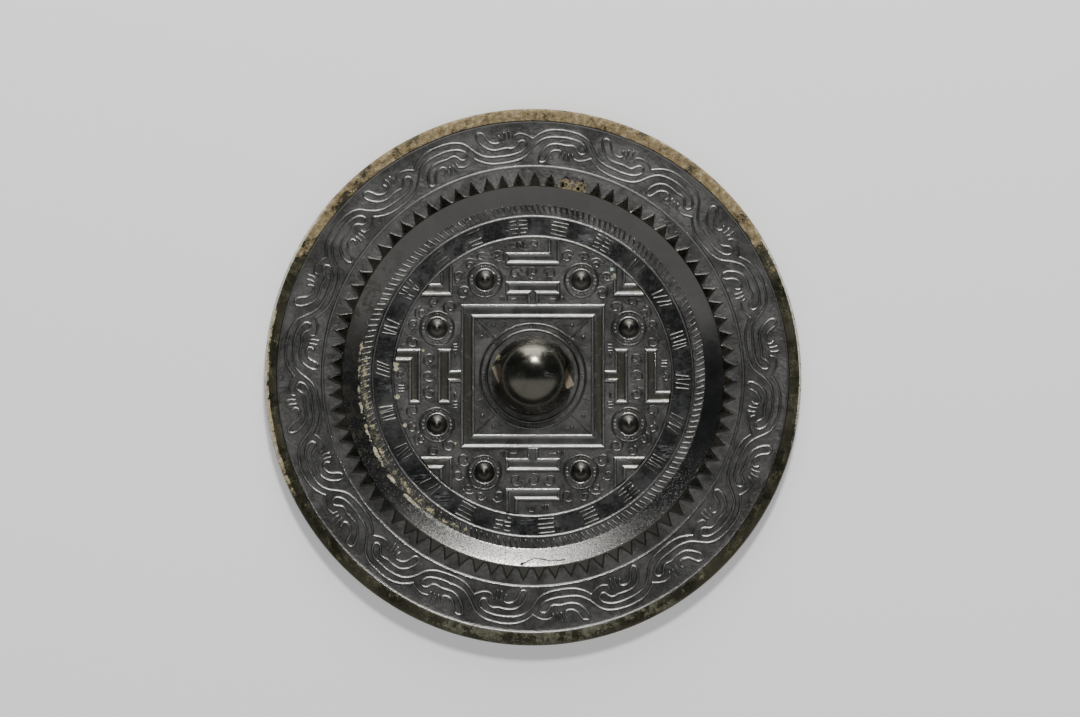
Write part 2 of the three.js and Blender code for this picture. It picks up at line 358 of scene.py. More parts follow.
# ---- Ring of signs ---------------------------------------------------
# Between two round ridges stand twenty-two groups of shallow parallel strokes, with bare
# polished ground between them and two fine cracks across. They say nothing.
signs = Band(43.75, 49.05, field_z)
sign_middle = 46.4
sign_count = 22
sign_first = 10.5
sign_cell = 7.4
cell_inner, cell_outer = 44.1, 48.7
sign_step = 0.9
worn_away = 0.06
crack_inner, crack_outer, crack_slant = 44, 48.8, 0.4
crack_section = (0.18, 0.2)
near_top = 0.75
sign_places = []
sign_rows = {
    "uprights": [[(x, -2), (x, 2)] for x in (-2.2, -1.1, 0, 1.1, 2.2)],
    "rows": [[(-2.2, y), (2.2, y)] for y in (-2, -0.7, 0.7, 2)],
    "pairs": [[(x - 1, y), (x + 1, y)] for x in (-1.5, 1.5) for y in (-1.9, -0.65, 0.65, 1.9)],
    "slants": [[(x - 0.5, -1.9), (x + 0.5, 1.9)] for x in (-2.2, -0.75, 0.75, 2.2)],
    "combs": [[(x, y - 0.8), (x, y + 0.8)] for x in (-2.2, -1.1, 0, 1.1, 2.2) for y in (-1.25, 1.25)],
}
kinds_across = ("uprights", "combs", "uprights", "slants")
kinds_along = ("rows", "pairs", "rows", "combs")
for number in range(sign_count):
    at = sign_first + number * 360 / sign_count + hand.uniform(-0.8, 0.8)
    stretch = hand.uniform(0.9, 1.15)
    for side in (-1, 1):
        edge_at = at + side * sign_cell / 2
        signs.line([polar(cell_inner, edge_at), polar(cell_outer, edge_at)])
    sign_places.append(at)
    kinds = kinds_along if abs(math.cos(math.radians(at))) > near_top else kinds_across
    for row in sign_rows[kinds[(number + number // 5) % len(kinds)]]:
        if hand.random() < worn_away:
            continue
        ends = [polar(sign_middle + y + hand.uniform(-0.2, 0.2),
                      at + math.degrees((x * stretch + hand.uniform(-0.35, 0.35)) / sign_middle))
                for x, y in row]
        signs.rod(spaced(np.array(ends), sign_step), hand.uniform(0.31, 0.38), hand.uniform(0.28, 0.34))
for at in (353.5, 33):
    ends = [polar(crack_inner, at), polar(crack_outer, at + crack_slant)]
    signs.rod(spaced(np.array(ends), sign_step), *crack_section)
signs.cast()
casting.turn(ridge_profile(43.25, *ridge_section, field_z))

# ---- Square and compass figures --------------------------------------
# A square frame round the knob, a T on each of its sides, an L facing each T and a V facing
# each corner. Each is a band with a rounded lip on both edges and a hollow between them.
field = Band(0, 42.75, field_z)
gutter = [(0, 0), (0.04, 0.32), (0.12, 0.5), (0.3, 0.62), (0.5, 0.745), (0.6, 0.76), (0.7, 0.72),
          (0.9, 0.6), (1.1, 0.48), (1.3, 0.38), (1.42, 0.35)]
mark_reach = field.outer - 0.15
frame_inner, frame_outer = 17.9, 22.35
t_foot, t_top, t_half, stem_half = 25.2, 29.4, 8.5, 1.85
l_foot, l_top = 34.5, 38.4
v_corner = 24.8
mark_width = 4


def to_ring(x):
    """How far out a line at this distance from the middle meets the ring of signs."""
    return math.sqrt(mark_reach ** 2 - x ** 2)


def quarter_turns(points):
    """The same points at each of the four sides."""
    points = np.array(points, dtype=float)
    turned = []
    for _ in range(4):
        turned.append(points)
        points = np.stack([points[:, 1], -points[:, 0]], axis=1)
    return turned


for inset, _ in gutter:
    for side in (frame_inner + inset, frame_outer - inset):
        field.line([(-side, side), (side, side), (side, -side), (-side, -side)], True)
    stem, bar, limb = stem_half - inset, t_half - inset, t_half - mark_width + inset
    t_line = [(stem, frame_outer - 0.2), (stem, t_foot + inset), (bar, t_foot + inset),
              (bar, t_top - inset)]
    t_line += [(-x, y) for x, y in t_line[::-1]]
    l_line = [(limb, to_ring(limb)), (limb, l_top - inset), (-bar, l_top - inset),
              (-bar, l_foot + inset), (bar, l_foot + inset), (bar, to_ring(bar))]
    v_lines = [[(side, to_ring(side)), (side, side), (to_ring(side), side)]
               for side in (v_corner + inset, v_corner + mark_width - inset)]
    for figure in [t_line, l_line] + v_lines:
        for turned in quarter_turns(figure):
            field.line(turned)


def figure_depth(x, y):
    """How far inside a figure of the north side a place lies, or less than nothing outside."""
    bar = np.minimum(t_half - np.abs(x), np.minimum(y - t_foot, t_top - y))
    stem = np.minimum(stem_half - np.abs(x), np.minimum(y - frame_outer + 0.4, t_top - y))
    low_bar = np.minimum(t_half - np.abs(x), np.minimum(y - l_foot, l_top - y))
    limb = np.minimum(np.minimum(t_half - x, x - t_half + mark_width), y - l_foot)
    near_side, far_side = np.minimum(x, y), np.maximum(x, y)
    corner = np.minimum(near_side - v_corner, v_corner + mark_width - near_side)
    depths = [bar, stem, low_bar, limb, np.where(far_side > v_corner, corner, -1)]
    return np.max(depths, axis=0)


def all_figures_depth(x, y):
    """How far inside the square or any of the figures a place lies."""
    far = np.maximum(np.abs(x), np.abs(y))
    depth = np.minimum(far - frame_inner, frame_outer - far)
    for _ in range(4):
        depth = np.maximum(depth, figure_depth(x, y))
        x, y = y, -x
    return depth


def figures_form(places):
    """Height of the square and the compass figures."""
    steps, rises = zip(*gutter)
    depth = all_figures_depth(*places.T)
    return np.where(depth > 0, np.interp(depth, steps, rises), 0)


field.forms.append(figures_form)

# ---- Bosses ----------------------------------------------------------
# Eight pointed bosses, two at each corner of the square, each in a ring with short ticks. They
# were pressed into the mould with one turned stamp, so they are all alike.
boss_profile = [(0, 2.4), (0.22, 2.34), (0.6, 2.04), (1.1, 1.66), (1.5, 1.36), (1.66, 1.3),
                (1.82, 1.24), (2.2, 0.96), (2.75, 0.54), (3.1, 0.12), (3.25, 0.24), (3.45, 0.36),
                (3.65, 0.24), (3.78, 0)]
boss_ring = [(4.82, 0), (4.95, 0.19), (5.2, 0.4), (5.45, 0.19), (5.58, 0)]
tick_ends, tick_section = (4.06, 4.55), (0.28, 0.24)
boss_sides = 36
boss_ring_sides = 40
boss_places = [(sx * x, sy * y) for sx in (-1, 1) for sy in (-1, 1)
               for x, y in ((14.9, 29.6), (29.6, 14.9))]


def stud(centre, profile, steps):
    """A turned form on the ground, given by [radius, height] pairs from the middle outwards."""
    radii, rises = zip(*profile)
    for radius in radii:
        if radius == 0:
            field.points.append(tuple(float(v) for v in centre))
        else:
            field.circle(centre, radius, steps)

    def rise(places):
        gaps = np.hypot(*(places - np.array(centre)).T)
        return np.interp(gaps, radii, rises, left=0, right=0)
    field.forms.append(rise)


for place in boss_places:
    centre = np.array(place) + [hand.uniform(-0.15, 0.15), hand.uniform(-0.15, 0.15)]
    stud(centre, boss_profile, boss_sides)
    stud(centre, boss_ring, boss_ring_sides)
    for side in range(4):
        for tick in (-16, 0, 16):
            ends = [polar(reach, side * 90 + tick) for reach in tick_ends]
            field.rod(centre + np.array(ends), *tick_section)

# ---- Curls and strokes between the figures ---------------------------
# Small curls of cloud and short strokes fill the ground, much the same in each eighth. They
# were drawn into the mould freehand, so no two are quite alike.
curl_half = 0.34
curl_height = 0.28


def curl(centre, size, start, turns, tight=0.8):
    """A line round a centre, clockwise for more than no turns, whose second half winds in."""
    shares = np.linspace(0, 1, max(6, int(abs(turns) * 22)))
    return np.array([np.array(centre) + polar(size * (1 - tight * max(0, share * 2 - 1)),
                                              start + 360 * turns * share) for share in shares])


def strokes(centre, length, gap, count, degrees):
    """Short parallel strokes side by side."""
    along, across = polar(length / 2, degrees), polar(1, degrees + 90)
    return [np.array([centre + across * gap * (i - (count - 1) / 2) + sign * along
                      for sign in (-1, 1)]) for i in range(count)]


eighth = [curl((10.9, 37.1), 1.75, 60, -1.05), curl((15.8, 37), 1.4, 290, 0.9),
          curl((19.5, 34.3), 2.2, 290, 0.38, 0), curl((19.6, 34), 1.2, 280, 0.7),
          curl((22.8, 30.7), 1.5, 300, 0.95), curl((21.2, 25.9), 1.8, 320, 1.05),
          curl((5.1, 32), 1.75, 290, 1)]
eighth += strokes((8.9, 23.9), 1.1, 0.95, 3, 0) + strokes((6.1, 23.9), 1.5, 1, 1, 90)
side_only = [curl((0, 32), 1.75, 180, 1.05), curl((0.4, 40.8), 1.1, 270, 0.9)]
side_only += strokes((-3.9, 40.6), 1.6, 0.9, 3, 0)
motifs = side_only + eighth + [path * [-1, 1] for path in eighth]
for motif in motifs:
    for turned in quarter_turns(motif):
        nudge = np.array([hand.uniform(-0.12, 0.12), hand.uniform(-0.12, 0.12)])
        field.rod(spaced(turned + nudge, 0.55), curl_half * hand.uniform(0.85, 1.1),
                  curl_height * hand.uniform(0.85, 1.1))

# ---- Seat of the knob ------------------------------------------------
# Two thin rings round the foot of the knob with groups of ticks between them, a line out to each
# corner of the square, three stray marks, and small dots along the square's sides.
knob_radius = 12.5
knob_sides = 120
dot_profile = [(0, 0.5), (0.22, 0.44), (0.45, 0.22), (0.6, 0)]
seat_rings = (14.3, 16.3)
seat_half, seat_height = 0.42, 0.4
seat_tick_ends, seat_tick_section = (14.95, 15.65), (0.2, 0.26)
stray_ends, stray_section = (16.95, 18.9), (0.2, 0.18)
corner_section = (0.25, 0.26)
dot_sides = 14
for radius in seat_rings:
    for share in (1, 0.75, 0.4, 0, -0.4, -0.75, -1):
        field.circle((0, 0), radius + share * seat_half, knob_sides)


def seat_form(places):
    radii = np.hypot(*places.T)
    rise = np.zeros(len(places))
    for radius in seat_rings:
        share = np.clip(np.abs(radii - radius) / seat_half, 0, 1)
        rise = np.maximum(rise, seat_height * crest(share))
    return rise


field.forms.append(seat_form)
for group in range(8):
    for tick in (-3.7, 0, 3.7):
        ends = [polar(reach, group * 45 + tick) for reach in seat_tick_ends]
        field.rod(np.array(ends), *seat_tick_section)
for at in (62, 113, 246):
    field.rod(np.array([polar(reach, at) for reach in stray_ends]), *stray_section)
for turned in quarter_turns([polar(16.9, 45), (17.2, 17.2)]):
    field.rod(spaced(turned, 0.8), *corner_section)
for sx, sy in ((1, 1), (1, -1), (-1, -1), (-1, 1)):
    for x, y in ((12.1, 15.7), (15.6, 12.2)):
        stud((sx * x, sy * y), dot_profile, dot_sides)
field.circle((0, 0), knob_radius + 0.6, knob_sides)
field.cast()

# ---- Knob ------------------------------------------------------------
# A round-topped knob, cast with the disc and pierced from side to side for the cord. The
# hole is arched, because a clay core lay on the mould's floor there.
knob_height = 11.6
hole_half = 3.7
hole_height = 7.4
hole_turn = 3.3
knob_foot = 1.5
dome_start, dome_fullness = 0.035, 0.98
dome_steps = 31
dome = [(0.0, knob_foot), (knob_radius - 0.2, knob_foot), (knob_radius - 0.05, field_z - 0.2)]
for step in range(dome_steps):
    angle = (dome_start + (1 - dome_start) * step / dome_steps) * math.pi / 2
    dome.append((knob_radius * math.cos(angle) ** dome_fullness,
                 field_z + knob_height * math.sin(angle)))
dome.append((0.0, field_z + knob_height))
rings = [[(x, y, z) for x, y in polar(radius, np.arange(knob_sides) * 360 / knob_sides)]
         if radius else [(0, 0, z)] for radius, z in dome]


def closed_mesh(name, rings, degrees=0):
    """A closed skin over rings of corners, the first or last of which may be one point."""
    bm = bmesh.new()
    made = [[bm.verts.new(corner) for corner in ring] for ring in rings]
    for below, above in zip(made, made[1:]):
        count = max(len(below), len(above))
        for i in range(count):
            j = (i + 1) % count
            around_face = [below[j % len(below)], below[i % len(below)],
                           above[i % len(above)], above[j % len(above)]]
            bm.faces.new(list(dict.fromkeys(around_face)))
    for cap in (made[0], made[-1][::-1]):
        if len(cap) > 1:
            bm.faces.new(cap)
    bmesh.ops.recalc_face_normals(bm, faces=bm.faces)
    turned = Matrix.Rotation(math.radians(degrees), 3, "Z")
    bmesh.ops.rotate(bm, verts=bm.verts, cent=(0, 0, 0), matrix=turned)
    mesh = bpy.data.meshes.new(name)
    bm.to_mesh(mesh)
    bm.free()
    return mesh


knob_mesh = closed_mesh("knob", rings)
core_foot = 0.6
core_reach = 14
core_flare = 0.05
arch_steps = 16
spring = field_z + hole_height - hole_half
section = [(-hole_half, core_foot), (hole_half, core_foot)]
for step in range(arch_steps + 1):
    angle = math.pi * step / arch_steps
    section.append((hole_half * math.cos(angle), spring + hole_half * math.sin(angle)))
rings = []
for x in np.linspace(-core_reach, core_reach, 2 * core_reach + 1):
    flare = 1 + core_flare * (abs(x) / core_reach) ** 4
    rings.append([(x, y * flare, z if z == core_foot else field_z + (z - field_z) * flare)
                  for y, z in section])
core_mesh = closed_mesh("core", rings, -hole_turn)


def combine(target, tool, operation):
    """Joins or cuts one closed mesh with another."""
    cut = target.modifiers.new("join", "BOOLEAN")
    cut.operation = operation
    cut.solver = "MANIFOLD"
    cut.object = tool
    bpy.context.view_layer.update()
    joined = target.evaluated_get(bpy.context.evaluated_depsgraph_get())
    result = bpy.data.meshes.new_from_object(joined)
    target.modifiers.clear()
    target.data = result
    bpy.data.objects.remove(tool)


def shape(name, mesh):
    made = bpy.data.objects.new(name, mesh)
    bpy.context.scene.collection.objects.link(made)
    return made


disc_mesh = bpy.data.meshes.new("disc")
disc_mesh.from_pydata(casting.corners, [], casting.faces)
bm = bmesh.new()
bm.from_mesh(disc_mesh)
bmesh.ops.recalc_face_normals(bm, faces=bm.faces)
bm.to_mesh(disc_mesh)
bm.free()
knob = shape("knob", knob_mesh)
combine(knob, shape("core", core_mesh), "DIFFERENCE")
mirror = shape("bronze_mirror", disc_mesh)
combine(mirror, knob, "UNION")
middle_foot = Vector(((low[0] + high[0]) / 2, (low[1] + high[1]) / 2, low[2]))
sharp_from = math.radians(25)
bm = bmesh.new()
bm.from_mesh(mirror.data)
bmesh.ops.triangulate(bm, faces=[f for f in bm.faces if len(f.verts) > 4])
bmesh.ops.scale(bm, vec=(mm, mm, mm), verts=bm.verts)
bmesh.ops.translate(bm, vec=middle_foot, verts=bm.verts)
for face in bm.faces:
    face.smooth = True
for edge in bm.edges:
    if len(edge.link_faces) != 2 or edge.calc_face_angle() > sharp_from:
        edge.smooth = False
bm.to_mesh(mirror.data)
bm.free()
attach(mirror, "root")
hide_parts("mirror")

# ---- Finishes --------------------------------------------------------
# Two thousand years in the ground left the bronze dark grey where it is as cast and nearly
# black where it was ground and polished, with sandy earth on the plain edge and in hollows.
class Wiring:
    """Adds nodes to a tree and joins them up. Masks go from nothing to one."""

    def __init__(self, tree):
        self.tree = tree

    def plug(self, sockets, values):
        """Joins an output to each socket, or gives it a plain value."""
        for key, value in values.items():
            if isinstance(value, bpy.types.NodeSocket):
                self.tree.links.new(value, sockets[key])
            else:
                sockets[key].default_value = value

    def node(self, kind, inputs=None, **settings):
        made = self.tree.nodes.new("ShaderNode" + kind)
        for key, value in settings.items():
            setattr(made, key, value)
        self.plug(made.inputs, inputs or {})
        return made

    def calc(self, operation, *values, clamp=False):
        made = self.node("Math", dict(enumerate(values)), operation=operation, use_clamp=clamp)
        return made.outputs[0]

    def vector(self, operation, inputs, output="Vector"):
        return self.node("VectorMath", inputs, operation=operation).outputs[output]

    def both(self, first, second):
        return self.calc("MULTIPLY", first, second)

    def either(self, first, second):
        return self.calc("MAXIMUM", first, second)

    def weigh(self, first, share, second):
        """The first value's share, made up to one with the second."""
        return self.calc("ADD", self.both(first, share), self.both(second, 1 - share))

    def noise(self, place, scale, detail=4, roughness=0.55, distortion=0):
        made = self.node("TexNoise", {"Vector": place, "Scale": scale, "Detail": detail,
                                      "Roughness": roughness, "Distortion": distortion})
        return made.outputs["Fac"]

    def step(self, value, start, end, low=0, high=1):
        """Goes smoothly from low to high as the value goes from start to end."""
        made = self.node("MapRange", {"Value": value, "From Min": start, "From Max": end,
                                      "To Min": low, "To Max": high},
                         interpolation_type="SMOOTHSTEP")
        return made.outputs["Result"]

    def blend(self, share, first, second):
        made = self.node("Mix", {0: share, 6: first, 7: second}, data_type="RGBA")
        return made.outputs[2]


def effect(name, inputs, outputs):
    """A shader node group with named inputs and outputs."""
    tree = bpy.data.node_groups.new(name, "ShaderNodeTree")
    for label, kind, value in inputs:
        socket = tree.interface.new_socket(label, in_out="INPUT", socket_type="NodeSocket" + kind)
        if value is not None:
            socket.default_value = value
    for label in outputs:
        tree.interface.new_socket(label, in_out="OUTPUT", socket_type="NodeSocketFloat")
    wires = Wiring(tree)
    given = tree.nodes.new("NodeGroupInput").outputs
    return wires, given, tree.nodes.new("NodeGroupOutput").inputs


wires, given, out = effect("casting_grain", [("Place", "Vector", None), ("Grain", "Float", 3.0)],
                           ["Height", "Mottle"])
fine = wires.noise(given["Place"], given["Grain"], 5, 0.7)
coarse = wires.noise(given["Place"], 0.45, 4, 0.6)
wires.plug(out, {"Height": wires.weigh(fine, 0.7, coarse),
                 "Mottle": wires.noise(given["Place"], 0.11, 6, 0.62, 0.4)})

# A patchy mask for earth crusts, also used for the patches of a painted highlight.
wires, given, out = effect("crust_and_sheen_patches", [("Place", "Vector", None), ("Where", "Float", 1.0),
                                           ("Size", "Float", 0.6), ("Cover", "Float", 0.5)], ["Mask"])
patches = wires.noise(given["Place"], given["Size"], 8, 0.68)
grains = wires.noise(given["Place"], 2.6, 3, 0.6)
fall = wires.both(wires.calc("SUBTRACT", given["Where"], 1), 0.5)
level = wires.calc("ADD", wires.weigh(patches, 0.75, grains), fall)
start = wires.calc("SUBTRACT", 1, given["Cover"])
wires.plug(out, {"Mask": wires.step(level, start, wires.calc("ADD", start, 0.07))})

wires, given, out = effect("scratches", [("Place", "Vector", None), ("Share", "Float", 0.01)], ["Mask"])
marks = 0
for turn, stretch in ((0.4, 9), (1.9, 7), (2.6, 11)):
    turned = wires.node("Mapping", {"Vector": given["Place"], "Rotation": (0, 0, turn),
                                    "Scale": (0.05, stretch * 0.06, 0.05)}).outputs[0]
    wave = wires.calc("ABSOLUTE", wires.calc("SUBTRACT", wires.noise(turned, 1.0, 3, 0.5), 0.5))
    marks = wires.either(marks, wires.step(wave, given["Share"], 0))
broken = wires.step(wires.noise(given["Place"], 0.08, 3, 0.5), 0.5, 0.62)
wires.plug(out, {"Mask": wires.both(marks, broken)})


crest_foot, crest_top = 0.1, 0.34
slope_middle = (57, 58)


class Metal(Wiring):
    """A bronze finish, built up in layers on one Principled shader."""

    def __init__(self, name):
        self.material = bpy.data.materials.new(name)
        self.material.use_nodes = True
        super().__init__(self.material.node_tree)
        self.shader = self.tree.nodes["Principled BSDF"]
        spot = self.node("TexCoord").outputs["Object"]
        moved = self.vector("SUBTRACT", {0: spot, 1: middle_foot})
        self.place = self.vector("SCALE", {0: moved, "Scale": 1 / mm})
        self.rise = self.node("SeparateXYZ", {0: self.place}).outputs["Z"]
        self.flat = self.vector("MULTIPLY", {0: self.place, 1: (1, 1, 0)})
        self.radius = self.vector("LENGTH", {0: self.flat}, "Value")

    def sector(self, middle, half, soft):
        """One inside a sector of the back, nothing outside it."""
        way = self.vector("NORMALIZE", {0: self.flat})
        along = self.vector("DOT_PRODUCT", {0: way, 1: (*polar(1, middle), 0)}, "Value")
        start, end = (math.cos(math.radians(half + side * soft)) for side in (1, -1))
        return self.step(along, start, end)

    def ring(self, inner, outer, soft):
        return self.both(self.step(self.radius, inner - soft, inner + soft),
                         self.step(self.radius, outer + soft, outer - soft))

    def spot(self, x, y, size, soft, flat=None):
        gap = self.vector("DISTANCE", {0: flat or self.flat, 1: (x, y, 0)}, "Value")
        return self.step(gap, size + soft, size - soft)

    def stroke(self, start, end, half, flat):
        """One along a straight line, nothing beyond its half width."""
        begin, way = Vector((*start, 0)), Vector((*end, 0)) - Vector((*start, 0))
        gone = self.vector("SUBTRACT", {0: flat, 1: begin})
        share = self.vector("DOT_PRODUCT", {0: gone, 1: way / way.length_squared}, "Value")
        along = self.vector("SCALE", {0: way, "Scale": self.calc("ADD", share, 0, clamp=True)})
        gap = self.vector("DISTANCE", {0: gone, 1: along}, "Value")
        return self.step(gap, half * 1.5, half * 0.5)

    def rubbed(self):
        """One on the crests that stand above the ground, where hands and cloth have rubbed."""
        in_field, in_band = (self.step(self.rise, ground_z + crest_foot, ground_z + crest_top)
                             for ground_z in (field_z, band_z))
        return self.step(self.radius, *slope_middle, in_field, in_band)

    def effect(self, name, **inputs):
        made = self.node("Group", node_tree=bpy.data.node_groups[name])
        self.plug(made.inputs, dict(inputs, Place=self.place))
        return made.outputs

    def crust_and_sheen(self, where, size, cover):
        return self.effect("crust_and_sheen_patches", Where=where, Size=size, Cover=cover)["Mask"]

    def earth_and_sheen_tones(self, dark, middle, light):
        """Earth whose colour changes from grain to grain; also the pale tones of a painted highlight.
        """
        share = self.noise(self.place, 0.55, 9, 0.8)
        first = self.blend(self.step(share, 0.38, 0.5), (*dark, 1), (*middle, 1))
        return self.blend(self.step(share, 0.5, 0.64), first, (*light, 1))

    def cover(self, mask, colour, roughness, metallic, height):
        """Lays earth and corrosion, and in places painted light and shade, over what is there already.
        """
        self.colour = self.blend(mask, self.colour, colour)
        self.rough = self.step(mask, 0, 1, self.rough, roughness)
        if metallic != self.metallic:
            self.metallic = self.step(mask, 0, 1, self.metallic, metallic)
        self.height = self.calc("ADD", self.height, self.both(mask, height))

    def finish(self, bump_distance):
        bump = self.node("Bump", {"Height": self.height, "Distance": bump_distance, "Strength": 1.0})
        self.plug(self.shader.inputs, {"Base Color": self.colour, "Roughness": self.rough,
                                       "Metallic": self.metallic, "Normal": bump.outputs[0]})
        return self.material


def metal(name, dark, light, rough, grain, relief):
    """Bare bronze: two tones in soft patches, a range of roughness, and grain."""
    made = Metal(name)
    texture = made.effect("casting_grain", Grain=grain)
    share = made.weigh(made.step(texture["Mottle"], 0.36, 0.64), 0.6,
                       made.step(texture["Height"], 0.4, 0.6))
    made.colour = made.blend(share, (*dark, 1), (*light, 1))
    made.rough = made.step(made.calc("ADD", texture["Height"], texture["Mottle"]), 0.8, 1.2, *rough)
    made.metallic = 1.0
    made.height = made.both(texture["Height"], relief)
    return made


# As cast: the ground and the line work. The crests are rubbed bright, pale earth lies along the
# foot of the slope, and small crusts lie beside the teeth and among the curls.
golden_earth = ((0.07, 0.055, 0.028), (0.2, 0.155, 0.075), (0.4, 0.35, 0.22))
ground = metal("cast_ground", (0.07, 0.068, 0.064), (0.155, 0.152, 0.145), (0.3, 0.41), 1.2, 1.1)
crests = ground.rubbed()
ground.rough = ground.step(crests, 0, 1, ground.rough, 0.22)
ground.colour = ground.blend(crests, ground.colour, (0.3, 0.295, 0.28, 1))
slope_side = ground.both(ground.sector(240, 45, 12), ground.ring(50.5, 53.5, 1.2))
pale_earth = ground.earth_and_sheen_tones((0.18, 0.16, 0.09), (0.4, 0.36, 0.22), (0.6, 0.55, 0.38))
ground.cover(ground.crust_and_sheen(slope_side, 0.35, 0.52), pale_earth, 0.85, 0, 1.4)
golden = ground.earth_and_sheen_tones(*golden_earth)
for middle, half, inner, outer in ((12, 5, 58.5, 62), (17, 9, 64.5, 65.1)):
    where = ground.both(ground.sector(middle, half, 4), ground.ring(inner, outer, 0.5))
    ground.cover(ground.crust_and_sheen(where, 0.8, 0.54), golden, 0.8, 0.1, 0.6)
pale_patch = ground.crust_and_sheen(ground.spot(24.9, 30.9, 1.8, 1.8), 1, 0.58)
ground.cover(pale_patch, (0.38, 0.37, 0.3, 1), 0.8, 0, 0.8)
tan_spots = 0
for x, y, size in ((-42.3, 3.6, 1), (-42.2, 2.2, 0.9), (-41.9, -6.4, 1), (-39.5, -15.2, 0.8),
                   (-34, 7.9, 0.6), (-23.9, -20.8, 0.6), (26.7, 33, 0.9), (26.2, 30.6, 1)):
    tan_spots = ground.either(tan_spots, ground.spot(x, y, size, 0.6))
ground.cover(ground.crust_and_sheen(tan_spots, 0.9, 0.66), (0.4, 0.37, 0.25, 1), 0.8, 0, 1)
verdigris = ground.earth_and_sheen_tones((0.2, 0.27, 0.23), (0.38, 0.55, 0.48), (0.62, 0.76, 0.7))
ground.cover(ground.crust_and_sheen(ground.spot(24.6, 33, 1.1, 1.2), 1, 0.64), verdigris, 0.75, 0, 2)
cast_ground = ground.finish(0.00022)

# The knob: polished by hands, with a thin brown bloom on top and a grain of earth at its side.
polish = metal("ground_polish", (0.085, 0.082, 0.068), (0.14, 0.134, 0.11), (0.17, 0.28), 2.2, 0.3)
polish.cover(polish.crust_and_sheen(polish.spot(-10.9, 5.8, 1.3, 0.9), 0.7, 0.62),
             (0.3, 0.27, 0.15, 1), 0.7, 0.2, 0.6)
polish.cover(polish.crust_and_sheen(polish.spot(0, 0, 9, 3), 1.1, 0.32), (0.2, 0.19, 0.08, 1), 0.6, 0.6, 0.3)
polish.cover(polish.effect("scratches", Share=0.008)["Mask"], (0.3, 0.29, 0.26, 1), 0.4, 1, -0.2)
polished = polish.finish(0.00004)

# The tops of the teeth: the darkest polish, with a lighter, rougher tone at the bottom that is painted
# sheen.
top = metal("tooth_top", (0.025, 0.024, 0.017), (0.075, 0.072, 0.055), (0.2, 0.34), 1.6, 0.7)
top.cover(top.crust_and_sheen(top.sector(12, 5, 4), 0.8, 0.54), top.earth_and_sheen_tones(*golden_earth), 0.8, 0.2, 0.8)
# Painted sheen: the bottom teeth are painted a lighter tone for the light they catch there.
top.cover(top.sector(180, 38, 24), (0.12, 0.118, 0.1, 1), 0.38, 1, 0)
tooth_top = top.finish(0.00006)

# The slope: polished, darker at the top under painted shade and paler at the bottom under a painted
# highlight, with grit, pale earth along its foot, and one fine crack that starts at a pit.
bevel = metal("ground_slope", (0.1, 0.098, 0.094), (0.17, 0.167, 0.16), (0.19, 0.26), 2.6, 0.5)
bevel.cover(bevel.crust_and_sheen(bevel.sector(275, 50, 30), 0.35, 0.52), (0.1, 0.096, 0.076, 1), 0.4, 1, 0)
slope_foot_earth = bevel.both(bevel.sector(245, 50, 14), bevel.ring(52.5, 55, 1.4))
bevel.cover(bevel.crust_and_sheen(slope_foot_earth, 0.3, 0.54),
            bevel.earth_and_sheen_tones((0.2, 0.17, 0.09), (0.45, 0.4, 0.25), (0.62, 0.57, 0.4)), 0.85, 0, 1)
# Painted shade over the top of the slope and a painted highlight over its bottom, as darker and paler
# tones.
for middle, half, painted_light_tone in ((0, 65, 0.088), (180, 28, 0.24)):
    share = bevel.both(bevel.sector(middle, half, 25), 0.75)
    bevel.cover(share, (painted_light_tone, painted_light_tone * 0.98, painted_light_tone * 0.93, 1), 0.24, 1, 0)
grit = bevel.step(bevel.noise(bevel.place, 2.2, 4, 0.75), 0.43, 0.36)
bevel.cover(bevel.both(grit, bevel.sector(185, 60, 30)), (0.06, 0.055, 0.045, 1), 0.6, 0.9, -0.8)
speckle = bevel.both(bevel.step(bevel.noise(bevel.place, 1.5, 3, 0.7), 0.54, 0.44),
                     bevel.sector(180, 35, 25))
bevel.cover(bevel.both(speckle, 0.75), (0.12, 0.117, 0.11, 1), 0.36, 1, -0.25)
ripple = bevel.node("TexNoise", {"Vector": bevel.place, "Scale": 1.1, "Detail": 3}).outputs["Color"]
wavy = bevel.vector("MULTIPLY_ADD", {0: ripple, 1: (0.8, 0.8, 0), 2: bevel.flat})
crack = bevel.spot(-2.9, -57.4, 0.5, 0.15, wavy)
crack_line = [(-3, -57.5), (1, -55.6), (6, -56.5), (10, -56.2)]
for start, end in zip(crack_line, crack_line[1:]):
    crack = bevel.either(crack, bevel.stroke(start, end, 0.13, wavy))
bevel.cover(crack, (0.03, 0.03, 0.027, 1), 0.6, 1, -1)
slope_polish = bevel.finish(0.00004)

# The hollows of the figures: less bright, and darker in olive patches in those that run up and down.
hollow = metal("hollow_polish", (0.12, 0.119, 0.112), (0.19, 0.188, 0.177), (0.27, 0.36), 2.4, 0.8)
flanks = hollow.either(hollow.sector(90, 43, 2), hollow.sector(270, 43, 2))
hollow.cover(hollow.crust_and_sheen(flanks, 0.4, 0.6), (0.085, 0.083, 0.066, 1), 0.38, 1, 0)
hollow_polish = hollow.finish(0.00005)

# Between the strokes of the signs: a little duller than the bare ground beside them.
between = metal("sign_hollow", (0.05, 0.05, 0.048), (0.13, 0.13, 0.125), (0.3, 0.45), 2, 0.8)
sign_hollow = between.finish(0.00006)

# The bosses: darker than the ground and half polished by wear.
worn = metal("boss_polish", (0.05, 0.049, 0.042), (0.105, 0.103, 0.09), (0.33, 0.43), 2.2, 0.6)
boss_polish = worn.finish(0.00005)

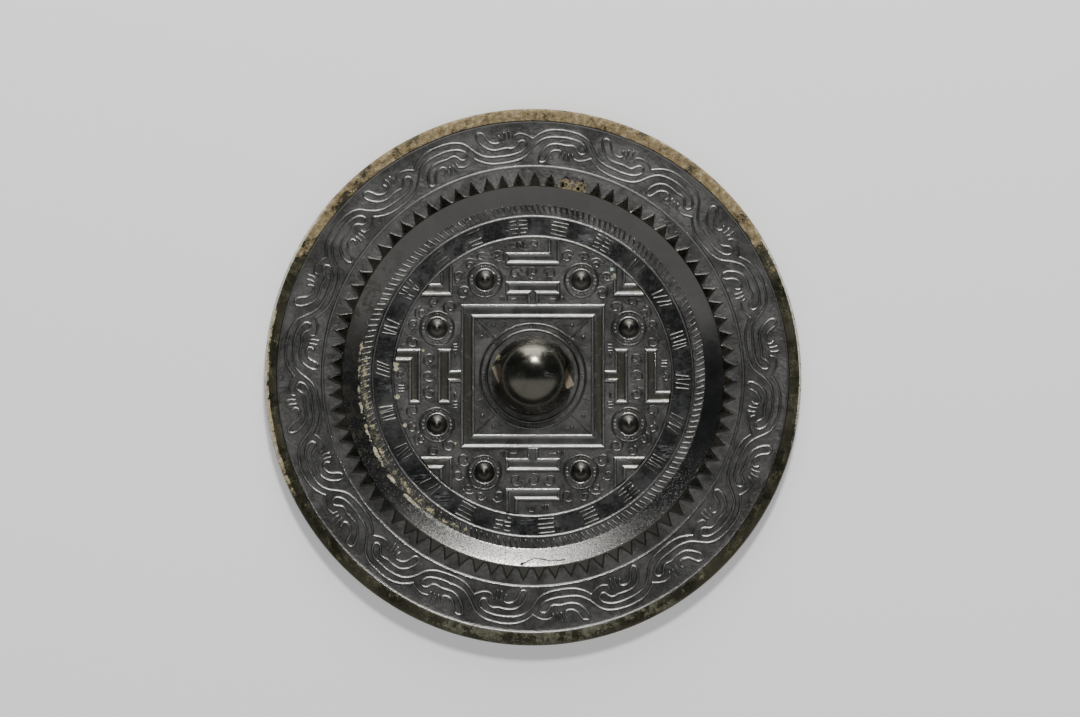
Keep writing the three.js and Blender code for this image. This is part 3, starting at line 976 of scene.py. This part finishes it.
# The plain edge: dark polish under thin olive earth, sandy earth over the upper part, grey-green
# earth over the lower part, and a painted highlight in pale patches along the outer corner at both
# sides.
edge = metal("plain_edge", (0.035, 0.034, 0.022), (0.085, 0.08, 0.055), (0.3, 0.45), 2.6, 0.8)
edge.cover(edge.crust_and_sheen(1.0, 0.3, 0.47),
           edge.earth_and_sheen_tones((0.02, 0.019, 0.01), (0.055, 0.051, 0.025), (0.13, 0.12, 0.06)),
           0.6, 0.6, 0.4)
edge.cover(edge.crust_and_sheen(edge.sector(175, 40, 30), 0.3, 0.54),
           edge.earth_and_sheen_tones((0.045, 0.045, 0.031), (0.1, 0.098, 0.064), (0.18, 0.172, 0.11)),
           0.6, 0.5, 0.4)
sandy = edge.both(edge.sector(359, 72, 16), edge.step(edge.radius, 77.8, 79.6, 0.6, 1))
edge.cover(edge.crust_and_sheen(sandy, 0.16, 0.6),
           edge.earth_and_sheen_tones((0.08, 0.06, 0.03), (0.23, 0.168, 0.076), (0.42, 0.37, 0.245)),
           0.7, 0.25, 0.8)
bare_patch = edge.both(edge.sector(316, 7, 4), edge.step(edge.radius, 82.2, 81))
edge.cover(edge.crust_and_sheen(bare_patch, 0.35, 0.56), (0.05, 0.047, 0.03, 1), 0.4, 0.9, 0)
outer_side = edge.both(edge.sector(265, 24, 14), edge.step(edge.radius, 80.6, 81.6))
edge.cover(edge.crust_and_sheen(outer_side, 0.25, 0.58),
           edge.earth_and_sheen_tones((0.2, 0.16, 0.08), (0.42, 0.34, 0.19), (0.6, 0.52, 0.34)), 0.6, 0.4, 0.6)
# Painted highlight: pale patches along the top outer corner at the left and right sides stand in for
# light on the rounded edge.
painted_highlight_sides = edge.either(edge.sector(280, 34, 16), edge.sector(80, 24, 16))
corner = edge.both(edge.step(edge.radius, 81.7, 82.1), edge.step(edge.rise, 4.3, 4.9))
edge.cover(edge.crust_and_sheen(edge.both(painted_highlight_sides, corner), 0.45, 0.62),
           edge.earth_and_sheen_tones((0.3, 0.28, 0.22), (0.48, 0.46, 0.38), (0.66, 0.64, 0.56)), 0.6, 0, 0)
plain_edge = edge.finish(0.00012)

# The bare ground between the signs: bright and black.
black = metal("sign_ground", (0.07, 0.07, 0.07), (0.13, 0.13, 0.13), (0.24, 0.38), 1.4, 0.7)
black.cover(black.effect("scratches", Share=0.01)["Mask"], (0.3, 0.3, 0.3, 1), 0.35, 1, -0.3)
sign_ground = black.finish(0.00003)

# The reflecting face: smooth, dark and cloudy.
face = metal("reflecting_face", (0.16, 0.155, 0.14), (0.28, 0.27, 0.24), (0.1, 0.3), 1.2, 0.25)
face.cover(face.crust_and_sheen(1.0, 0.05, 0.42), (0.09, 0.085, 0.05, 1), 0.55, 0.6, 0.4)
face.cover(face.effect("scratches", Share=0.008)["Mask"], (0.1, 0.1, 0.09, 1), 0.45, 1, -0.3)
reflecting_face = face.finish(0.00003)

# Earth left in the cord hole.
clay = metal("hole_earth", (0.12, 0.095, 0.065), (0.3, 0.245, 0.18), (0.8, 0.95), 2.0, 1)
clay.metallic = 0.0
hole_earth = clay.finish(0.0002)

# Each facet takes the first finish whose place it lies in.
face_top, under_edge = 0.3, 1.25
teeth_inner, teeth_outer, slope_inner, field_outer = 58.7, 63.5, 53.2, 43
hole_depth, hole_reach = 0.4, 11.4
boss_radius = 3.05
hollow_inset = 0.85
spots = np.array([(polygon.center - middle_foot) / mm for polygon in mirror.data.polygons])
up = np.array([polygon.normal.z for polygon in mirror.data.polygons])
x, y, z = spots.T
radius = np.hypot(x, y)
azimuth = np.degrees(np.arctan2(x, y)) % 360
dome_z = field_z + knob_height * np.sqrt(np.clip(1 - (radius / knob_radius) ** 2, 0, 1))
on_knob = radius < knob_radius + 0.1
in_hole = on_knob & (z < dome_z - hole_depth)
sign_gap = np.min([np.abs((azimuth - at + 180) % 360 - 180) for at in sign_places], axis=0)
boss_gap = np.min([np.hypot(x - bx, y - by) for bx, by in boss_places], axis=0)
chosen = [
    (reflecting_face, (z < face_top) | ((z < under_edge) & (up < 0) & (radius > knob_radius))),
    (plain_edge, radius > rim_step),
    (tooth_top, (radius > teeth_inner) & (radius < teeth_outer) & (z > rim_z - 0.02)),
    (cast_ground, radius > teeth_inner),
    (slope_polish, radius > slope_inner),
    (cast_ground, radius > signs.outer),
    (sign_ground, (radius > signs.inner) & (z < field_z + 0.03) & (sign_gap > sign_cell / 2)),
    (sign_hollow, (radius > signs.inner) & (z < field_z + 0.05)),
    (cast_ground, radius > field_outer),
    (hole_earth, in_hole & (radius < hole_reach)),
    (boss_polish, in_hole),
    (polished, on_knob),
    (boss_polish, boss_gap < boss_radius),
    (hollow_polish, all_figures_depth(x, y) > hollow_inset),
    (cast_ground, radius >= 0),
]
mirror.data.materials.clear()
finishes = list(dict.fromkeys(material for material, _ in chosen))
for material in finishes:
    mirror.data.materials.append(material)
mirror.data.polygons.foreach_set("material_index", np.select(
    [where for _, where in chosen], [finishes.index(material) for material, _ in chosen]))

# ---- Studio ----------------------------------------------------------
# A pale matt floor, three soft lamps past the top of the mirror, and a camera almost straight
# above it. For the polish to mirror, the sky is white high up on the near side, else dark grey.
floor_mesh = bpy.data.meshes.new("floor")
floor_reach = 3
floor_mesh.from_pydata([(floor_reach * x, floor_reach * y, 0)
                        for x, y in ((-1, -1), (1, -1), (1, 1), (-1, 1))], [], [(0, 1, 2, 3)])
floor = shape("floor", floor_mesh)
plaster = bpy.data.materials.new("pale_floor")
plaster.use_nodes = True
Wiring(plaster.node_tree).plug(plaster.node_tree.nodes["Principled BSDF"].inputs, {
    "Base Color": (0.9, 0.9, 0.9, 1), "Roughness": 0.8,
    "Emission Color": (1, 1, 1, 1), "Emission Strength": 0.2})
floor_mesh.materials.append(plaster)

centre = Vector(((low[0] + high[0]) / 2, (low[1] + high[1]) / 2, rim_z * mm))


def lamp(name, elevation, azimuth, distance, size, power):
    """A soft square lamp aimed at the mirror, at an azimuth from +Y towards +X."""
    light = bpy.data.lights.new(name, "AREA")
    light.shape = "RECTANGLE"
    light.size, light.size_y = size
    light.energy = power
    made = bpy.data.objects.new(name, light)
    up, turn = math.radians(elevation), math.radians(azimuth)
    way = Vector((math.cos(up) * math.sin(turn), math.cos(up) * math.cos(turn), math.sin(up)))
    made.location = centre + way * distance
    made.rotation_euler = way.to_track_quat("Z", "Y").to_euler()
    bpy.context.scene.collection.objects.link(made)


lamp("key", elevation=46, azimuth=6, distance=1.6, size=(0.24, 0.24), power=22)
lamp("horizon", elevation=7, azimuth=0, distance=1.5, size=(1.5, 0.45), power=6.5)
lamp("window", elevation=22, azimuth=0, distance=1.5, size=(1.0, 0.6), power=10)

world = bpy.data.worlds.new("studio")
world.use_nodes = True
sky = Wiring(world.node_tree)
way = sky.node("SeparateXYZ", {0: sky.node("TexCoord").outputs["Generated"]}).outputs
white_side = sky.both(sky.step(way["Y"], -0.1, -0.24), sky.step(way["Z"], 0.36, 0.44))
sky_colour = sky.blend(white_side, (0.07, 0.075, 0.08, 1), (0.85, 0.85, 0.85, 1))
sky.plug(world.node_tree.nodes["Background"].inputs, {"Color": sky_colour, "Strength": 1})
bpy.context.scene.world = world

camera_data = bpy.data.cameras.new("camera")
camera_data.lens = 100
camera_data.sensor_width = 36
camera = bpy.data.objects.new("camera", camera_data)
bpy.context.scene.collection.objects.link(camera)
aim_offset = Vector((0.0022, 0.0053, 0))
camera_distance = 0.924
tilt = math.radians(3)
camera.location = centre + aim_offset + camera_distance * Vector((0, -math.sin(tilt), math.cos(tilt)))
camera.rotation_euler = (tilt, 0, 0)
bpy.context.scene.camera = camera
